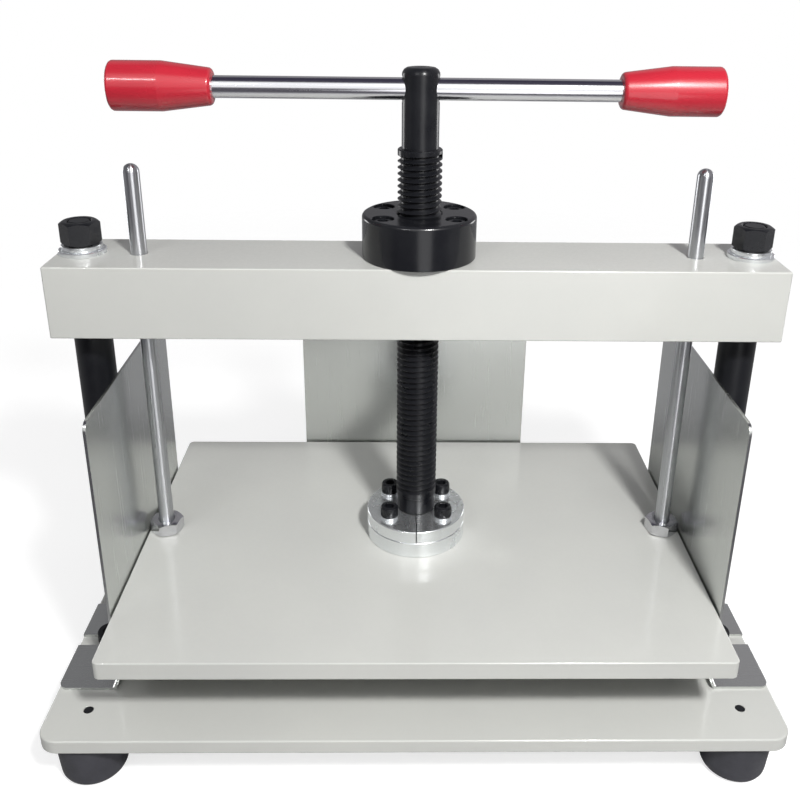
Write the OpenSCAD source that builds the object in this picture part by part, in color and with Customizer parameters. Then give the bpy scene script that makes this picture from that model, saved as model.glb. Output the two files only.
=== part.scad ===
// Table-top screw press: a spindle lowers a platen between two posts onto a base plate.
// Millimetres, +Z up, origin on the table under the middle of the base plate.

/* [Base and feet] */
// Width of the base plate and of the beam
base_w = 380; // [360:1:420]
// Depth of the base plate
base_d = 253; // [240:1:290]
// Thickness of the base plate
base_t = 8; // [5:0.5:10]
// Radius of the base plate's corners
base_r = 10; // [6:1:14]
// Height of a rubber foot
foot_h = 28; // [24:0.5:40]
// Diameter of a foot where it meets the base plate
foot_top_d = 37; // [36:1:40]
// Diameter of a foot where its round lower edge starts
foot_low_d = 34; // [30:1:35]
// Distance of a foot's screw from the base plate's side edge
foot_inset = 20.5; // [19:0.5:24]
// Distance of a foot's screw from the base plate's front or back edge
foot_end_inset = 21; // [19:0.5:26]

/* [Posts and beam] */
// Distance of the spindle and the posts behind the base plate's front edge
axis_from_front = 115.5; // [108:0.5:124]
// Diameter of a post
post_d = 20; // [18:1:22]
// Distance of a post's axis from the base plate's side edge
post_inset = 13; // [11.5:0.5:14]
// Height of the beam above the base plate
throat_h = 179; // [172:1:200]
// Depth of the beam
beam_d = 52; // [48:1:58]
// Height of the beam
beam_h = 38.5; // [34:0.5:44]
// Diameter of the studs on the post ends
stud_d = 12; // [10:1:12]
// Width across the flats of a post nut
post_nut_af = 18; // [18:0.5:22]
// Height of a post nut
post_nut_h = 12.5; // [10:0.5:14]
// Diameter of the flat washer on a post
post_washer_d = 24.5; // [23:0.5:28]
// Thickness of the flat washer on a post
post_washer_t = 2.5; // [2:0.5:4]
// Diameter of the spring washer under a post nut
spring_washer_d = 21; // [20:0.5:22]
// Thickness of the spring washer under a post nut
spring_washer_t = 2.5; // [2:0.5:3]

/* [Spindle and its nut] */
// Diameter over the spindle's thread
thread_d = 23; // [22:0.5:24]
// Rise of the spindle for one turn
thread_pitch = 3.25; // [2.5:0.25:4]
// Length of the spindle above the thrust washer
spindle_len = 266; // [262:0.5:290]
// Diameter of the plain shank at the top
shank_d = 19; // [18:0.5:20]
// Length of the plain shank
shank_len = 40; // [34:1:42]
// Diameter of the screw nut
nut_d = 60; // [58:1:62]
// Height of the screw nut above the beam
nut_h = 23; // [18:1:26]

/* [Handle] */
// Diameter of the tommy bar
bar_d = 11; // [10:0.5:12]
// Distance of the bar below the top of the spindle
bar_drop = 10.5; // [10.5:0.5:14]
// Distance of a grip's inner end from the middle of the bar
grip_start = 101.3; // [90:0.1:110]
// Length of a grip
grip_len = 50; // [46:1:70]
// Diameter of a grip's outer half
grip_d = 24.5; // [23:0.5:28]
// Diameter of a grip's inner end
grip_small_d = 18; // [17:0.2:21]
// How far the bar is pushed along its hole
bar_shift = -1.5; // [-10:0.1:10]

/* [Platen] */
// Height of the gap between base plate and platen
platen_gap = 36; // [20:1:40]
// Thickness of the platen
platen_t = 10; // [8:0.5:14]
// Radius of the platen's corners
platen_r = 3; // [2:1:12]
// Distance of the platen behind the base plate's front edge
platen_setback = 3; // [2:0.5:8]
// Diameter of the seat ring and the collar round the spindle's end
collar_d = 57; // [55:0.5:62]
// Height of the seat ring under the collar
seat_h = 9.5; // [8:0.5:12]
// Height of the split collar
collar_h = 7.5; // [6:0.5:9]
// Diameter of a guide rod
rod_d = 8.5; // [8:0.5:10]
// Distance of a guide rod from the platen's side edge
rod_inset = 10.1; // [10.1:0.1:14]
// Height of a guide rod above the platen
rod_len = 219; // [216:1:240]
// Width across the flats of a rod nut
rod_nut_af = 17; // [15:0.5:17]
// Height of a rod nut
rod_nut_h = 8; // [6:0.5:9]

/* [Side and back plates] */
// Thickness of the folded sheet
sheet_t = 1.5; // [1.2:0.1:2.5]
// Height of a side plate above the base plate
side_h = 157; // [120:1:160]
// Height of the back plate above the base plate
back_h = 147; // [125:1:160]
// Length of a side plate's foot
side_len = 156; // [140:1:170]
// Length of the back plate's foot
back_len = 158; // [126:1:186]
// Width of a side plate's foot on the base plate
side_foot_w = 31.8; // [30:0.1:33]
// Width of the back plate's foot on the base plate
back_foot_w = 27.5; // [26.5:0.5:30]
// Distance of a plate's slots from its middle
slot_offset = 41; // [38:1:46]

/* [Hidden] */
$fn = 96;

// Room left in clearance holes, in threaded holes, and round what turns or slides, on the radius
hole_gap = 0.25;
thread_gap = 0.05;
running_gap = 0.08;
// Overshoot of cutting shapes
over = 1;

// Heights
base_top = foot_h + base_t;
beam_low = base_top + throat_h;
beam_top = beam_low + beam_h;
platen_low = base_top + platen_gap;
platen_top = platen_low + platen_t;
seat_top = platen_top + seat_h;
collar_top = seat_top + collar_h;

// Places in plan
axis_y = axis_from_front - base_d / 2;
post_x = base_w / 2 - post_inset;
foot_x = base_w / 2 - foot_inset;
foot_y = base_d / 2 - foot_end_inset;
back_margin = 1.5;
side_x = base_w / 2 - side_foot_w;
back_y = base_d / 2 - back_margin - back_foot_w;
side_gap = 0.6;
back_gap = 1.5;
platen_w = 2 * (side_x - side_gap);
platen_front = platen_setback - base_d / 2;
platen_back = back_y - back_gap;
platen_d = platen_back - platen_front;
platen_y = (platen_front + platen_back) / 2;
rod_x = platen_w / 2 - rod_inset;

// Feet
foot_recess_d = 14;
foot_web = 9;
foot_round = 5;
foot_recess_h = foot_h - foot_web;
foot_washer_d = 13;
foot_washer_t = 1.2;
foot_screw_d = 5;
foot_screw_head_d = 9;
foot_screw_head_h = 3.5;
foot_screw_stop = 0.4;

// Post ends
post_tap_depth = 26;
stud_chamfer = 1.5;
spring_washer_slit = 1.5;
spring_washer_turn = 130;
left_nut_turn = 15;
right_nut_turn = -15;
nut_seat = beam_top + post_washer_t + spring_washer_t;
bolt_head_af = 18;
bolt_head_h = 7.5;
bolt_washer_d = 24;
bolt_washer_t = 2.5;
bolt_grip = 22;

// Sheet plates and their M8 cap screws
bend_r = 2;
sheet_corner_r = 5;
upright_setback = 3;
slot_w = 8.4;
plate_screw_d = 8;
plate_screw_head_d = 13;
plate_screw_head_h = 7;
plate_screw_in = 15;
post_notch_gap = 2.5;
post_notch_r = post_d / 2 + post_notch_gap;

// Screw nut and its M6 cap screws, each hole at a mirrored place
spigot_d = 32;
spigot_short = 3;
spigot_len = beam_h - spigot_short;
small_screw_d = 6;
small_head_d = 10;
small_head_h = 6;
counterbore_d = 11.4;
counterbore_h = 7;
nut_hole_x = 18.7;
nut_hole_y = 12.6;
nut_screw_grip = 12;
nut_chamfer = 1.2;

// Spindle end, held by the collar
thrust_t = 2;
end_d = 21;
end_room = 0.3;
end_h = seat_h - thrust_t - end_room;
neck_d = 15;
smooth_h = 10.5;
spindle_low = platen_top + thrust_t;
spindle_top = spindle_low + spindle_len;
neck_top = collar_top + end_room - spindle_low;
thread_low = neck_top + smooth_h;
thread_high = spindle_len - shank_len;
thread_depth = 0.5 * thread_pitch;
crest_end = 0.15 * thread_pitch;
root_start = 0.45 * thread_pitch;
root_end = 0.7 * thread_pitch;
smooth_step = 0.5;
smooth_d = thread_d - 2 * smooth_step;
groove_count = floor((thread_high - thread_low) / thread_pitch);
shank_chamfer = 3.5;
collar_split = 0.6;
collar_hole_x = 15.4;
collar_hole_y = 12.8;
collar_washer_d = 10.2;
collar_washer_t = 1.8;
platen_floor = 2;
collar_screw_in = platen_t - platen_floor;

// Handle
bar_z = spindle_top - bar_drop;
grip_cap = 4;
grip_round = 2.5;
grip_straight = grip_len / 2;
bar_half = grip_start + grip_len - grip_cap;

// Guide rods
left_rod_nut_turn = 17;
right_rod_nut_turn = -19;
rod_floor = 1;
rod_in = platen_t - rod_floor;

// Colours
paint = [0.79, 0.79, 0.76];
black = [0.13, 0.13, 0.14];
zinc = [0.72, 0.74, 0.77];
stainless = [0.66, 0.67, 0.67];
chrome = [0.82, 0.82, 0.86];
red = [0.80, 0.16, 0.19];
rubber = [0.22, 0.22, 0.25];

// A flat plate with round corners, standing on z = 0
module rounded_plate(w, d, t, r) {
    translate([-w / 2 + r, -d / 2, 0]) cube([w - 2 * r, d, t]);
    translate([-w / 2, -d / 2 + r, 0]) cube([w, d - 2 * r, t]);
    for (x = [-1, 1], y = [-1, 1])
        translate([x * (w / 2 - r), y * (d / 2 - r), 0]) cylinder(r = r, h = t);
}

// What is cut away to round the corner at the origin of a block that lies towards -X and -Y
module corner_cutter(r, h) {
    translate([-r, -r, 0]) difference() {
        cube([r + over, r + over, h]);
        translate([0, 0, -over]) cylinder(r = r, h = h + 2 * over);
    }
}

// Copies of the children at x, y and at its mirrored places
module at_four(x, y) {
    for (sx = [-1, 1], sy = [-1, 1])
        translate([sx * x, sy * y, 0]) children();
}

module at_posts() {
    for (s = [-1, 1])
        translate([s * post_x, axis_y, 0]) children();
}

// A washer standing on z = 0
module washer(d, bore, t) {
    difference() {
        cylinder(d = d, h = t);
        translate([0, 0, -over]) cylinder(d = bore, h = t + 2 * over);
    }
}

// A washer cut by a slit, standing on z = 0
module spring_washer(d, bore, t) {
    difference() {
        washer(d, bore, t);
        rotate(spring_washer_turn) translate([0, -spring_washer_slit / 2, -over])
            cube([d, spring_washer_slit, t + 2 * over]);
    }
}

// A hexagonal nut or bolt head with chamfered corners, standing on z = 0
module hexagon(af, h, low_chamfer = true) {
    flat_r = af / 2;
    corner_r = flat_r / cos(30);
    wide_r = 2 * corner_r - flat_r;
    chamfer_slope = 0.7;
    rise = (wide_r - flat_r) * chamfer_slope;
    low_edge = low_chamfer ? [[flat_r, 0], [wide_r, rise]] : [[wide_r, 0]];
    intersection() {
        cylinder(r = corner_r, h = h, $fn = 6);
        rotate_extrude() polygon(concat([[0, 0]], low_edge, [[wide_r, h - rise], [flat_r, h], [0, h]]));
    }
}

module hexagon_nut(af, h, bore) {
    difference() {
        hexagon(af, h);
        translate([0, 0, -over]) cylinder(d = bore, h = h + 2 * over);
    }
}

// A socket head cap screw: its head stands on z = 0 and its shank hangs below
module cap_screw(d, head_d, head_h, length) {
    edge = head_d * 0.06;
    socket_af = d * 0.8;
    socket_floor = head_h * 0.4;
    difference() {
        union() {
            cylinder(d = head_d, h = head_h - edge);
            translate([0, 0, head_h - edge]) cylinder(d1 = head_d, d2 = head_d - 2 * edge, h = edge);
        }
        translate([0, 0, socket_floor]) cylinder(d = socket_af / cos(30), h = head_h, $fn = 6);
    }
    translate([0, 0, -length]) cylinder(d = d, h = length);
}

module plate_cap_screw() {
    cap_screw(plate_screw_d, plate_screw_head_d, plate_screw_head_h, sheet_t + base_t);
}

// Cuts through the base plate at every fixing
module base_holes() {
    at_four(foot_x, foot_y) cylinder(d = foot_screw_d + 2 * thread_gap, h = base_t + 2 * over);
    at_posts() cylinder(d = stud_d + 2 * hole_gap, h = base_t + 2 * over);
    for (s = [-1, 1], t = [-1, 1]) {
        translate([s * (side_x + plate_screw_in), platen_y + t * slot_offset, 0])
            cylinder(d = plate_screw_d + 2 * thread_gap, h = base_t + 2 * over);
    }
    for (t = [-1, 1]) {
        translate([t * slot_offset, back_y + plate_screw_in, 0])
            cylinder(d = plate_screw_d + 2 * thread_gap, h = base_t + 2 * over);
    }
}

module base_plate() {
    color(paint) translate([0, 0, foot_h]) difference() {
        rounded_plate(base_w, base_d, base_t, base_r);
        translate([0, 0, -over]) base_holes();
    }
}

// Half section of a foot from the table up its round edge and its tapered side
foot_section = concat(
    [[0, 0]],
    [for (a = [0 : 15 : 90]) [foot_low_d / 2 + foot_round * (sin(a) - 1), foot_round * (1 - cos(a))]],
    [[foot_top_d / 2, foot_h], [0, foot_h]]
);

module foot(sx, sy) {
    color(rubber) translate([sx * foot_x, sy * foot_y, 0]) difference() {
        rotate_extrude() polygon(foot_section);
        translate([0, 0, -over]) cylinder(d = foot_recess_d, h = foot_recess_h + over);
        cylinder(d = foot_screw_d + 2 * hole_gap, h = foot_h + over);
    }
}

module foot_washers() {
    color(zinc) at_four(foot_x, foot_y) translate([0, 0, foot_recess_h - foot_washer_t])
        washer(foot_washer_d, foot_screw_d + 2 * hole_gap, foot_washer_t);
}

module foot_screws() {
    head_top = foot_recess_h - foot_washer_t;
    color(black) at_four(foot_x, foot_y) {
        translate([0, 0, head_top - foot_screw_head_h]) cylinder(d = foot_screw_head_d, h = foot_screw_head_h);
        translate([0, 0, head_top]) cylinder(d = foot_screw_d, h = base_top - foot_screw_stop - head_top);
    }
}

module post(s) {
    stud_len = nut_seat + post_nut_h - beam_low;
    color(black) translate([s * post_x, axis_y, 0]) difference() {
        union() {
            translate([0, 0, base_top]) cylinder(d = post_d, h = throat_h);
            translate([0, 0, beam_low]) cylinder(d = stud_d, h = stud_len - stud_chamfer);
            translate([0, 0, beam_low + stud_len - stud_chamfer])
                cylinder(d1 = stud_d, d2 = stud_d - 2 * stud_chamfer, h = stud_chamfer);
        }
        translate([0, 0, base_top - over]) cylinder(d = stud_d + 2 * thread_gap, h = post_tap_depth + over);
    }
}

module post_bolt_washers() {
    color(zinc) at_posts() translate([0, 0, foot_h - bolt_washer_t])
        washer(bolt_washer_d, stud_d + 2 * hole_gap, bolt_washer_t);
}

module post_bolts() {
    head_top = foot_h - bolt_washer_t;
    color(black) at_posts() {
        translate([0, 0, head_top]) mirror([0, 0, 1]) hexagon(bolt_head_af, bolt_head_h, false);
        translate([0, 0, head_top]) cylinder(d = stud_d, h = bolt_washer_t + base_t + bolt_grip);
    }
}

module top_beam() {
    color(paint) translate([0, 0, beam_low]) difference() {
        translate([-base_w / 2, axis_y - beam_d / 2, 0]) cube([base_w, beam_d, beam_h]);
        translate([0, 0, -over]) at_posts() cylinder(d = stud_d + 2 * hole_gap, h = beam_h + 2 * over);
        translate([0, axis_y, -over]) {
            cylinder(d = spigot_d + 2 * hole_gap, h = beam_h + 2 * over);
            for (s = [-1, 1])
                translate([s * rod_x, 0, 0]) cylinder(d = rod_d + 2 * running_gap, h = beam_h + 2 * over);
        }
        translate([0, axis_y, beam_h - nut_screw_grip - over]) at_four(nut_hole_x, nut_hole_y)
            cylinder(d = small_screw_d + 2 * thread_gap, h = nut_screw_grip + 2 * over);
    }
}

module post_washer(s) {
    color(zinc) translate([s * post_x, axis_y, beam_top])
        washer(post_washer_d, stud_d + 2 * hole_gap, post_washer_t);
}

module post_spring_washer(s) {
    color(zinc) translate([s * post_x, axis_y, beam_top + post_washer_t])
        spring_washer(spring_washer_d, stud_d + 2 * hole_gap, spring_washer_t);
}

module post_nut(s) {
    color(black) translate([s * post_x, axis_y, nut_seat]) rotate(s > 0 ? right_nut_turn : left_nut_turn)
        hexagon_nut(post_nut_af, post_nut_h, stud_d + 2 * thread_gap);
}

module screw_nut() {
    color(black) translate([0, axis_y, beam_top]) difference() {
        union() {
            cylinder(d = nut_d, h = nut_h - nut_chamfer);
            translate([0, 0, nut_h - nut_chamfer])
                cylinder(d1 = nut_d, d2 = nut_d - 2 * nut_chamfer, h = nut_chamfer);
            translate([0, 0, -spigot_len]) cylinder(d = spigot_d, h = spigot_len);
        }
        translate([0, 0, -spigot_len - over])
            cylinder(d = thread_d + 2 * running_gap, h = spigot_len + nut_h + 2 * over);
        at_four(nut_hole_x, nut_hole_y) {
            translate([0, 0, -over]) cylinder(d = small_screw_d + 2 * hole_gap, h = nut_h + 2 * over);
            translate([0, 0, nut_h - counterbore_h]) cylinder(d = counterbore_d, h = counterbore_h + over);
        }
    }
}

module nut_screws() {
    seat = beam_top + nut_h - counterbore_h;
    color(black) translate([0, axis_y, seat]) at_four(nut_hole_x, nut_hole_y)
        cap_screw(small_screw_d, small_head_d, small_head_h, nut_h - counterbore_h + nut_screw_grip);
}

// A folded plate: upright face on x = 0, foot towards +X, middle of its length at y = 0
module folded_plate(length, foot_w, height) {
    outer_r = bend_r + sheet_t;
    upright_end = length / 2 - upright_setback;
    difference() {
        translate([0, length / 2, 0]) rotate([90, 0, 0]) linear_extrude(length) {
            translate([0, outer_r]) square([sheet_t, height - outer_r]);
            translate([outer_r, 0]) square([foot_w - outer_r, sheet_t]);
            intersection() {
                square(outer_r);
                translate([outer_r, outer_r]) difference() {
                    circle(r = outer_r);
                    circle(r = bend_r);
                }
            }
        }
        for (s = [-1, 1]) {
            mirror([0, s > 0 ? 0 : 1, 0]) {
                translate([-over, upright_end, outer_r]) cube([sheet_t + 2 * over, length, height]);
                translate([-over, upright_end, height]) rotate([90, 0, 90])
                    corner_cutter(sheet_corner_r, sheet_t + 2 * over);
                translate([foot_w, length / 2, -over]) corner_cutter(sheet_corner_r, sheet_t + 2 * over);
            }
            translate([plate_screw_in, s * slot_offset, -over]) {
                cylinder(d = slot_w, h = sheet_t + 2 * over);
                translate([0, -slot_w / 2, 0]) cube([foot_w, slot_w, sheet_t + 2 * over]);
            }
        }
    }
}

// The right side plate, with a notch in its foot round the post
module right_plate_solid() {
    difference() {
        translate([side_x, platen_y, base_top]) folded_plate(side_len, side_foot_w, side_h);
        translate([post_x, axis_y, base_top - over]) {
            cylinder(r = post_notch_r, h = sheet_t + 2 * over);
            translate([0, -post_notch_r, 0]) cube([base_w, 2 * post_notch_r, sheet_t + 2 * over]);
        }
    }
}

module side_plate(s) {
    color(stainless) mirror([s > 0 ? 0 : 1, 0, 0]) right_plate_solid();
}

module side_plate_screws() {
    color(black) for (s = [-1, 1], t = [-1, 1])
        translate([s * (side_x + plate_screw_in), platen_y + t * slot_offset, base_top + sheet_t]) plate_cap_screw();
}

module back_plate() {
    color(stainless) translate([0, back_y, base_top]) rotate([0, 0, 90]) folded_plate(back_len, back_foot_w, back_h);
}

module back_plate_screws() {
    color(black) for (t = [-1, 1])
        translate([t * slot_offset, back_y + plate_screw_in, base_top + sheet_t]) plate_cap_screw();
}

module platen() {
    color(paint) translate([0, 0, platen_low]) difference() {
        translate([0, platen_y, 0]) rounded_plate(platen_w, platen_d, platen_t, platen_r);
        for (s = [-1, 1])
            translate([s * rod_x, axis_y, platen_t - rod_in]) cylinder(d = rod_d + 2 * thread_gap, h = platen_t);
        translate([0, axis_y, platen_t - collar_screw_in]) at_four(collar_hole_x, collar_hole_y)
            cylinder(d = small_screw_d + 2 * thread_gap, h = platen_t);
    }
}

module guide_rod(s) {
    dome_z = rod_len + rod_in - rod_d / 2;
    color(chrome) translate([s * rod_x, axis_y, platen_top - rod_in]) {
        cylinder(d = rod_d, h = dome_z);
        translate([0, 0, dome_z]) sphere(d = rod_d);
    }
}

module rod_nut(s) {
    turn = s > 0 ? right_rod_nut_turn : left_rod_nut_turn;
    color(zinc) translate([s * rod_x, axis_y, platen_top]) rotate(turn)
        hexagon_nut(rod_nut_af, rod_nut_h, rod_d + 2 * thread_gap);
}

module thrust_washer() {
    color(zinc) translate([0, axis_y, platen_top]) cylinder(d = end_d, h = thrust_t);
}

// Holes for the collar screws through a ring of this height
module collar_holes(h) {
    at_four(collar_hole_x, collar_hole_y) translate([0, 0, -over])
        cylinder(d = small_screw_d + 2 * hole_gap, h = h + 2 * over);
}

module screw_seat() {
    color(zinc) translate([0, axis_y, platen_top]) difference() {
        cylinder(d = collar_d, h = seat_h);
        translate([0, 0, -over]) cylinder(d = end_d + 2 * running_gap, h = seat_h + 2 * over);
        collar_holes(seat_h);
    }
}

module collar_half(s) {
    color(zinc) translate([0, axis_y, seat_top]) difference() {
        cylinder(d = collar_d, h = collar_h);
        translate([0, 0, -over]) cylinder(d = neck_d + 2 * running_gap, h = collar_h + 2 * over);
        collar_holes(collar_h);
        translate([s > 0 ? -collar_d : -collar_split / 2, -collar_d, -over])
            cube([collar_d + collar_split / 2, 2 * collar_d, collar_h + 2 * over]);
    }
}

module collar_spring_washers() {
    color(zinc) translate([0, axis_y, collar_top]) at_four(collar_hole_x, collar_hole_y)
        spring_washer(collar_washer_d, small_screw_d + 2 * hole_gap, collar_washer_t);
}

module collar_screws() {
    length = collar_washer_t + collar_h + seat_h + collar_screw_in;
    color(black) translate([0, axis_y, collar_top + collar_washer_t]) at_four(collar_hole_x, collar_hole_y)
        cap_screw(small_screw_d, small_head_d, small_head_h, length);
}

// Half section of the spindle from its lower end to its chamfered top, with ring grooves for the thread
function thread_ring(i) = let (r = thread_d / 2, z = thread_low + i * thread_pitch) [
    [r, z],
    [r, z + crest_end],
    [r - thread_depth, z + root_start],
    [r - thread_depth, z + root_end]
];

spindle_section = concat(
    [[0, 0], [end_d / 2, 0], [end_d / 2, end_h], [neck_d / 2, end_h], [neck_d / 2, neck_top]],
    [[smooth_d / 2, neck_top], [smooth_d / 2, thread_low]],
    [for (i = [0 : groove_count - 1]) each thread_ring(i)],
    [[thread_d / 2, thread_low + groove_count * thread_pitch], [thread_d / 2, thread_high]],
    [[shank_d / 2, thread_high], [shank_d / 2, spindle_len - shank_chamfer]],
    [[shank_d / 2 - shank_chamfer, spindle_len], [0, spindle_len]]
);

module press_screw() {
    color(black) difference() {
        translate([0, axis_y, spindle_low]) rotate_extrude() polygon(spindle_section);
        translate([-shank_d, axis_y, bar_z]) rotate([0, 90, 0])
            cylinder(d = bar_d + 2 * running_gap, h = 2 * shank_d);
    }
}

module handle_bar() {
    color(chrome) translate([bar_shift - bar_half, axis_y, bar_z]) rotate([0, 90, 0])
        cylinder(d = bar_d, h = 2 * bar_half);
}

// Half section of a grip along its axis, from its small inner end to its closed outer end
grip_section = [
    [0, 0],
    [grip_small_d / 2, 0],
    [grip_d / 2, grip_len - grip_straight],
    [grip_d / 2, grip_len - grip_round],
    [grip_d / 2 - grip_round, grip_len],
    [0, grip_len]
];

module grip(s) {
    color(red) translate([bar_shift + s * grip_start, axis_y, bar_z]) rotate([0, s * 90, 0]) difference() {
        rotate_extrude() polygon(grip_section);
        translate([0, 0, -over]) cylinder(d = bar_d + 2 * thread_gap, h = grip_len - grip_cap + over);
    }
}

base_plate();
foot(-1, -1);  // front_left_foot
foot(1, -1);  // front_right_foot
foot(-1, 1);  // rear_left_foot
foot(1, 1);  // rear_right_foot
foot_screws();
foot_washers();
post(-1);  // left_post
post(1);  // right_post
post_bolts();
post_bolt_washers();
top_beam();
post_washer(-1);  // left_post_washer
post_washer(1);  // right_post_washer
post_spring_washer(-1);  // left_spring_washer
post_spring_washer(1);  // right_spring_washer
post_nut(-1);  // left_post_nut
post_nut(1);  // right_post_nut
screw_nut();
nut_screws();
side_plate(-1);  // left_side_plate
side_plate(1);  // right_side_plate
side_plate_screws();
back_plate();
back_plate_screws();
platen();
guide_rod(-1);  // left_guide_rod
guide_rod(1);  // right_guide_rod
rod_nut(-1);  // left_rod_nut
rod_nut(1);  // right_rod_nut
thrust_washer();
screw_seat();
collar_half(-1);  // left_collar_half
collar_half(1);  // right_collar_half
collar_spring_washers();
collar_screws();
press_screw();
handle_bar();
grip(-1);  // left_grip
grip(1);  // right_grip
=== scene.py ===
import math

import bmesh
import bpy
from mathutils import Matrix, Vector


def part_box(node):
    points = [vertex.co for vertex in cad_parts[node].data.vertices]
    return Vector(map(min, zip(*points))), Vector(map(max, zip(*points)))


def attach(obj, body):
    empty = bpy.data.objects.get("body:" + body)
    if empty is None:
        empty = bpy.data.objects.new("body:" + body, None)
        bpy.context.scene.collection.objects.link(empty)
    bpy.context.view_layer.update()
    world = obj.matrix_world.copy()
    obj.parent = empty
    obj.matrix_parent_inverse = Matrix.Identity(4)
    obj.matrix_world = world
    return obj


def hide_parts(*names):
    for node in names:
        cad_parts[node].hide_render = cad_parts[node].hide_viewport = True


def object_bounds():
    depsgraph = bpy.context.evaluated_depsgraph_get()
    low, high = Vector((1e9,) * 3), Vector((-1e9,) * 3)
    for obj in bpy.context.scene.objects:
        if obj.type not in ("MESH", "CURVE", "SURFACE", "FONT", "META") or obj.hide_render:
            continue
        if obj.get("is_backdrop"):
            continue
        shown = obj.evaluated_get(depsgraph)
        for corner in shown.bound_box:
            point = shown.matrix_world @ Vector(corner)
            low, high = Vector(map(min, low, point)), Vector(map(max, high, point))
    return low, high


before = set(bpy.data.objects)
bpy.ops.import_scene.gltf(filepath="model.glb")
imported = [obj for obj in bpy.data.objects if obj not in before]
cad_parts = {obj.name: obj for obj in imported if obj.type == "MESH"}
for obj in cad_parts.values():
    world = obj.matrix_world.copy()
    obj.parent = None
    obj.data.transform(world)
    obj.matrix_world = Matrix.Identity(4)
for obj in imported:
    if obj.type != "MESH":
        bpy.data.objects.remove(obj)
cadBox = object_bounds()
print("frame loaded,", len(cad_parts), "nodes")

mm = 0.001
fullTurn = 2 * math.pi
spindleY = -0.011  # the spindle, the posts and the guide rods share this plane


# Node tools

class Wire:
    # one output socket, with the sums that shaders and trees need

    def __init__(self, board, socket):
        self.board = board
        self.socket = socket

    def other(self, name):
        return Wire(self.board, self.socket.node.outputs[name])

    def __add__(self, value):
        return self.board.math("ADD", self, value)

    def __sub__(self, value):
        return self.board.math("SUBTRACT", self, value)

    def __rsub__(self, value):
        return self.board.math("SUBTRACT", value, self)

    def __mul__(self, value):
        return self.board.math("MULTIPLY", self, value)

    def __truediv__(self, value):
        return self.board.math("DIVIDE", self, value)

    def __pow__(self, value):
        return self.board.math("POWER", self, value)


class Board:
    # a node tree, and one method that adds any node to it

    def __init__(self, tree):
        self.tree = tree

    def fill(self, socket, value):
        if isinstance(value, Wire):
            self.tree.links.new(value.socket, socket)
        else:
            socket.default_value = value

    def add(self, kind, settings=None, inputs=None, output=0):
        node = self.tree.nodes.new(kind)
        for name, value in (settings or {}).items():
            setattr(node, name, value)
        for key, value in (inputs or {}).items():
            self.fill(node.inputs[key], value)
        return Wire(self, node.outputs[output]) if len(node.outputs) else None

    def math(self, operation, *values):
        return self.add("ShaderNodeMath", {"operation": operation}, dict(enumerate(values)))

    def blend(self, share, first, second):
        # a colour between two others
        sockets = {0: share, 6: first, 7: second}
        return self.add("ShaderNodeMix", {"data_type": "RGBA"}, sockets, 2)

    def noise(self, place, scale, detail, roughness=0.55):
        sockets = {"Vector": place, "Scale": scale, "Detail": detail, "Roughness": roughness}
        return self.add("ShaderNodeTexNoise", {"noise_dimensions": "3D"}, sockets)

    def fit(self, value, low, high, toLow=0.0, toHigh=1.0):
        # a value between low and high, spread over another range
        sockets = {0: value, 1: low, 2: high, 3: toLow, 4: toHigh}
        return self.add("ShaderNodeMapRange", {"clamp": True}, sockets)


# Finishes: a noise is given as scale, detail and roughness, a bump as strength and depth

noiseSpan = (0.3, 0.7)  # where most of a noise lies


def startFinish(name, shine):
    material = bpy.data.materials.new(name)
    material.use_nodes = True
    board = Board(material.node_tree)
    shader = material.node_tree.nodes["Principled BSDF"]
    for socket, value in shine.items():
        shader.inputs[socket].default_value = value
    place = board.add("ShaderNodeTexCoord", output="Object")
    return material, board, shader, place


def stretch(board, place, scale):
    return board.add("ShaderNodeMapping", None, {"Vector": place, "Scale": scale})


def addBump(board, shader, height, strength, depth):
    sockets = {"Strength": strength, "Distance": depth, "Height": height}
    bump = board.add("ShaderNodeBump", None, sockets)
    board.fill(shader.inputs["Normal"], bump)


enamel = {
    "colour": (0.565, 0.57, 0.545, 1),
    "shade": (0.535, 0.54, 0.52, 1),
    "cloud": (14.0, 4.0),
    "peel": (520.0, 2.0),
    "roughness": (0.15, 0.23),
    "shine": {"IOR": 1.5, "Coat Roughness": 0.06},
    "coat": (0.1, 0.3),
    "bump": (0.05, 0.2 * mm),
}


def makeEnamel(name):
    # stove enamel: faint clouds of shade, an orange peel surface and a thin clear gloss
    material, board, shader, place = startFinish(name, enamel["shine"])
    cloud = board.noise(place, *enamel["cloud"])
    peel = board.noise(place, *enamel["peel"])
    share = board.fit(cloud, *noiseSpan)
    board.fill(shader.inputs["Base Color"], board.blend(share, enamel["colour"], enamel["shade"]))
    board.fill(shader.inputs["Roughness"], board.fit(cloud, *noiseSpan, *enamel["roughness"]))
    board.fill(shader.inputs["Coat Weight"], board.fit(peel, *noiseSpan, *enamel["coat"]))
    addBump(board, shader, peel, *enamel["bump"])
    return material


blackSteel = {
    "colour": (0.0065, 0.007, 0.009, 1),
    "worn": (0.013, 0.0135, 0.016, 1),
    "wornSpan": (0.35, 0.75),
    "patch": (55.0, 5.0),
    "grain": (900.0, 2.0),
    "patchShare": 0.7,
    "grainShare": 0.3,
    "bump": (0.08, 0.1 * mm),
    "plain": {"IOR": 1.38},
    "disc": {"IOR": 1.5, "Anisotropic": 0.3},
    "spindle": {"IOR": 1.38, "Anisotropic": 0.7, "Anisotropic Rotation": 0.25},
}


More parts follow.
